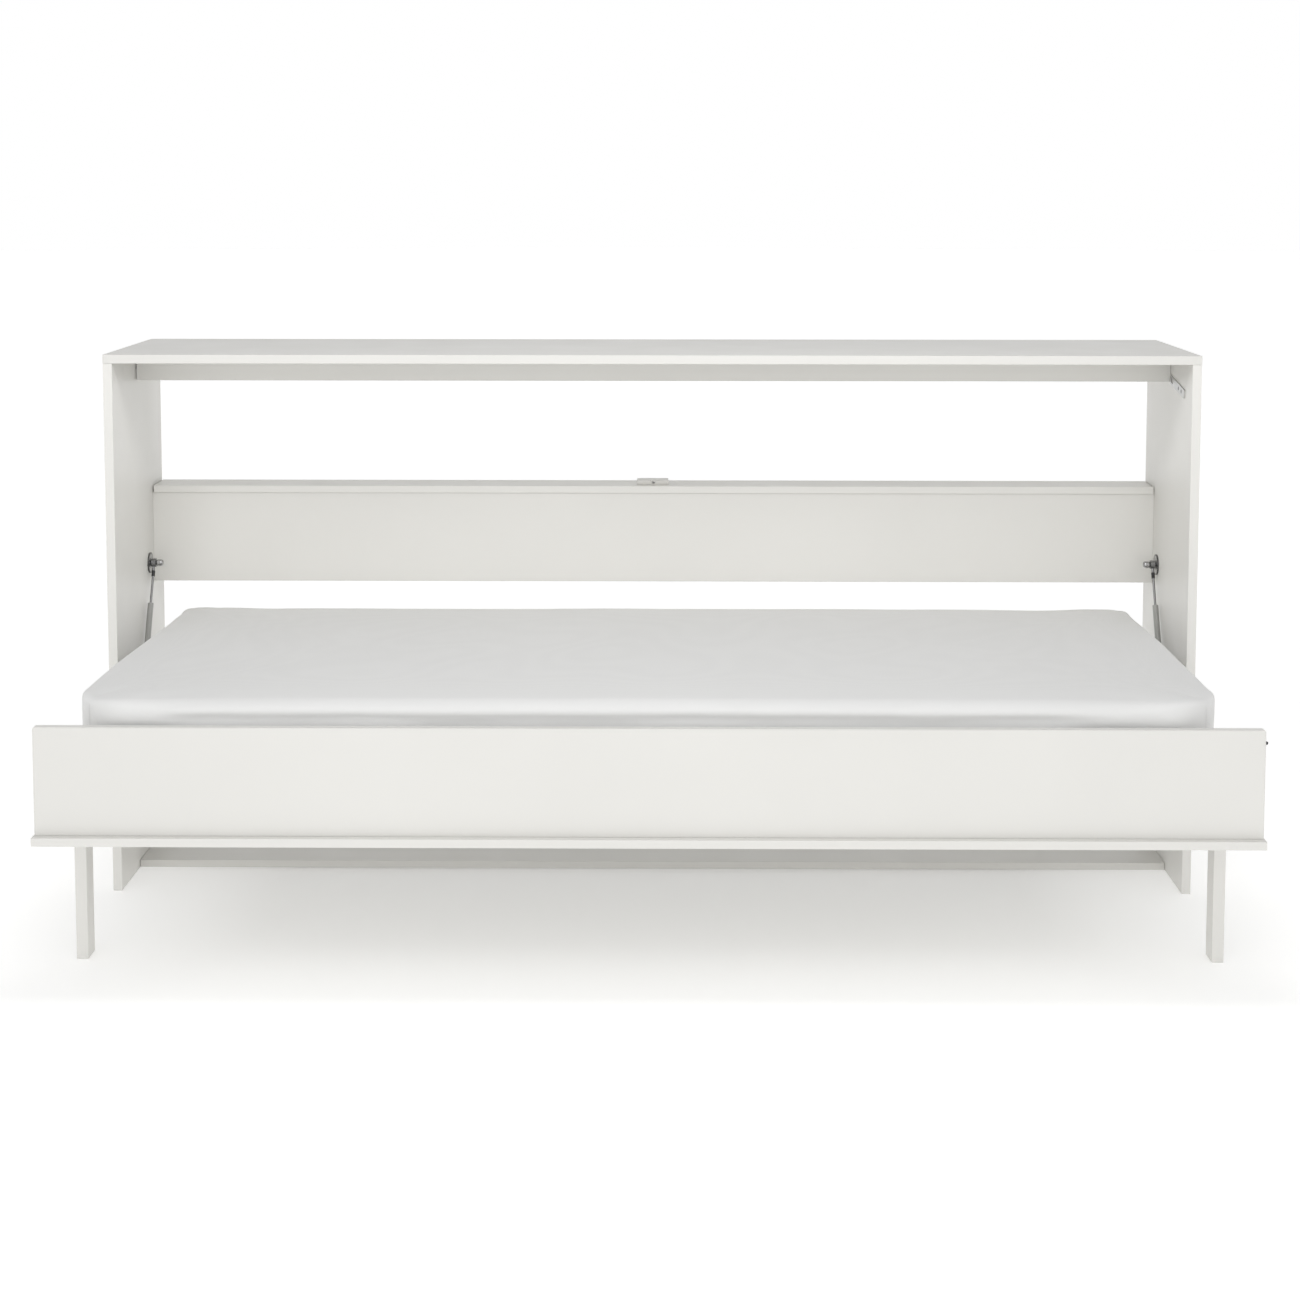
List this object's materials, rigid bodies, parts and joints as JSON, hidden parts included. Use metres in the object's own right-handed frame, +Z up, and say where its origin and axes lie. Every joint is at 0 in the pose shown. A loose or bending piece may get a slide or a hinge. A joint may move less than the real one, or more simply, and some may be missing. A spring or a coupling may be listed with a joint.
{
  "type": "cabinet bed",
  "caption": "White side-folding wall bed in a low open-fronted cabinet, shown unfolded on two folding legs with a mattress in a white fitted sheet.",
  "frame": {"origin": "on the floor, in the middle of the unfolded bed's bounding box", "axes": "+X along the cabinet to the right, +Y towards the wall, +Z up"},
  "size_m": [2.15, 1.127, 1.075],
  "materials": {
    "cabinet_white": "smooth white laminate",
    "bed_white": "smooth white laminate",
    "leg_white": "smooth white laminate",
    "slat_timber": "planed softwood",
    "batten_timber": "planed softwood",
    "dowel_beech": "plain beech",
    "mattress_fabric": "white woven cover under a fitted cotton sheet",
    "steel_bright": "bright zinc plated",
    "steel_plate": "brushed plate",
    "steel_dark": "dark oxide finish",
    "zinc_cast": "die-cast zinc",
    "bush_nylon": "self-lubricating nylon",
    "collar_black": "black moulded",
    "strut_grey": "grey paint",
    "strut_rod_steel": "dark nitrided rod"
  },
  "bodies": {
    "cabinet": {"side_panel_left": "cabinet_white", "side_panel_right": "cabinet_white", "top_panel": "cabinet_white", "bottom_board": "cabinet_white", "stop_rail": "cabinet_white", "middle_board": "cabinet_white", "ledge_board": "cabinet_white", "wall_anchor_block": "cabinet_white", "wall_anchor_screws": "steel_bright", "latch_strike_plate": "steel_plate", "latch_strike_screws": "steel_dark", "pivot_stud_left": "steel_bright", "pivot_stud_right": "steel_bright", "pivot_screws": "steel_bright", "strut_mount_left": "steel_bright", "strut_mount_right": "steel_bright", "strut_mount_screws": "steel_bright", "cam_locks": "zinc_cast", "cam_bolts": "steel_bright", "cabinet_dowels": "dowel_beech"},
    "bed": {"bed_panel": "bed_white", "front_rail": "bed_white", "rear_rail": "bed_white", "end_board_left": "bed_white", "end_board_right": "bed_white", "slat_battens": "batten_timber", "centre_rib": "bed_white", "slats": "slat_timber", "mattress": "mattress_fabric", "pivot_bush_left": "bush_nylon", "pivot_bush_right": "bush_nylon", "strut_bracket_left": "steel_bright", "strut_bracket_right": "steel_bright", "strut_bracket_screws": "steel_bright", "latch_housing": "steel_bright", "leg_hinge_bed_leaves": "steel_bright", "leg_hinge_pins": "steel_bright", "leg_hinge_bed_screws": "steel_bright", "bed_dowels": "dowel_beech"},
    "leg_left_body": {"leg_left": "leg_white", "leg_hinge_leaf_left": "steel_bright", "leg_hinge_screws_left": "steel_bright"},
    "leg_right_body": {"leg_right": "leg_white", "leg_hinge_leaf_right": "steel_bright", "leg_hinge_screws_right": "steel_bright"},
    "latch_pin_body": {"latch_pin": "steel_dark"},
    "strut_rod_left_body": {"strut_rod_left": "strut_rod_steel", "strut_collar_left": "collar_black"},
    "strut_rod_right_body": {"strut_rod_right": "strut_rod_steel", "strut_collar_right": "collar_black"},
    "strut_cylinder_left_body": {"strut_cylinder_left": "strut_grey"},
    "strut_cylinder_right_body": {"strut_cylinder_right": "strut_grey"}
  },
  "joints": [
    {"name": "bed_fold", "type": "hinge", "parent": "cabinet", "child": "bed", "pos_m": [0, 0.1525, 0.319], "axis": [-1, 0, 0], "range_deg": [0, 90]},
    {"name": "leg_left_fold", "type": "hinge", "parent": "bed", "child": "leg_left_body", "pos_m": [-1.019, -0.2745, 0.281], "axis": [0, -1, 0], "range_deg": [0, 90]},
    {"name": "leg_right_fold", "type": "hinge", "parent": "bed", "child": "leg_right_body", "pos_m": [1.019, -0.2745, 0.281], "axis": [0, 1, 0], "range_deg": [0, 90]},
    {"name": "latch_pin_slide", "type": "slide", "parent": "bed", "child": "latch_pin_body", "axis": [1, 0, 0], "range_m": [-0.0055, 0], "stiffness_N_per_m": 400, "springref_m": 0.004},
    {"name": "strut_left_swing", "type": "hinge", "parent": "cabinet", "child": "strut_rod_left_body", "pos_m": [-1.047, 0.4245, 0.613], "axis": [-1, 0, 0], "range_deg": [0, 4.35]},
    {"name": "strut_left_slide", "type": "slide", "parent": "strut_rod_left_body", "child": "strut_cylinder_left_body", "axis": [0, -0.4548, -0.8906], "range_m": [0, 0.18127]},
    {"name": "strut_right_swing", "type": "hinge", "parent": "cabinet", "child": "strut_rod_right_body", "pos_m": [1.047, 0.4245, 0.613], "axis": [-1, 0, 0], "range_deg": [0, 4.35]},
    {"name": "strut_right_slide", "type": "slide", "parent": "strut_rod_right_body", "child": "strut_cylinder_right_body", "axis": [0, -0.4548, -0.8906], "range_m": [0, 0.18127]}
  ],
  "couplings": [
    {"joint": "strut_left_swing", "follows": "bed_fold", "ratio": 0.048069},
    {"joint": "strut_left_slide", "follows": "bed_fold", "m_per_rad": 0.11527},
    {"joint": "strut_right_swing", "follows": "bed_fold", "ratio": 0.048069},
    {"joint": "strut_right_slide", "follows": "bed_fold", "m_per_rad": 0.11527}
  ]
}
